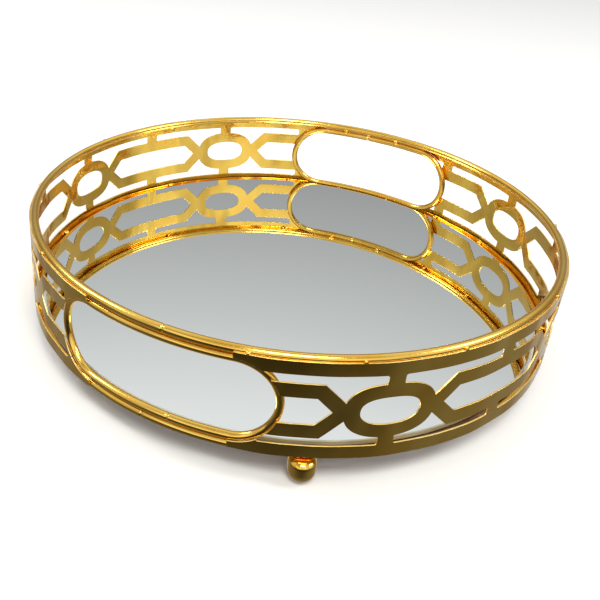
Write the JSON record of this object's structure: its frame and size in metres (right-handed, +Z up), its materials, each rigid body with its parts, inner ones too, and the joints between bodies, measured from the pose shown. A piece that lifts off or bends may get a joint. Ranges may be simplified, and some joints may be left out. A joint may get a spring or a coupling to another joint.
{
  "type": "dresser vanity tray",
  "caption": "Round mirrored vanity tray on ball feet, with a pierced gold gallery rail of ovals and long hexagons, and an open wire handle on each side.",
  "frame": {"origin": "on the surface the tray stands on, below the centre of its rings", "axes": "+X towards one handle, -X towards the other, +Z up; the front gallery strip is on -Y and the rear one on +Y"},
  "size_m": [0.2978, 0.3, 0.0684],
  "materials": {
    "gold_wire": "polished gold plating on drawn wire and turned feet",
    "gold_sheet": "polished gold plating on pierced sheet",
    "mirror_glass": "silvered float glass with a ground and arrissed edge",
    "backing_board": "plain hardboard",
    "pad_foam": "self-adhesive foam"
  },
  "bodies": {
    "root": {"rim_wire": "gold_wire", "base_ring": "gold_wire", "handle_loop_right": "gold_wire", "handle_loop_left": "gold_wire", "gallery_rear": "gold_sheet", "gallery_front": "gold_sheet", "mirror_glass": "mirror_glass", "backing_board": "backing_board", "mirror_pad_1": "pad_foam", "mirror_pad_2": "pad_foam", "mirror_pad_3": "pad_foam", "mirror_pad_4": "pad_foam", "mirror_pad_5": "pad_foam", "foot_1": "gold_wire", "foot_2": "gold_wire", "foot_3": "gold_wire", "foot_4": "gold_wire", "board_tab_1": "gold_wire", "board_tab_2": "gold_wire", "board_tab_3": "gold_wire", "board_tab_4": "gold_wire"}
  },
  "joints": []
}
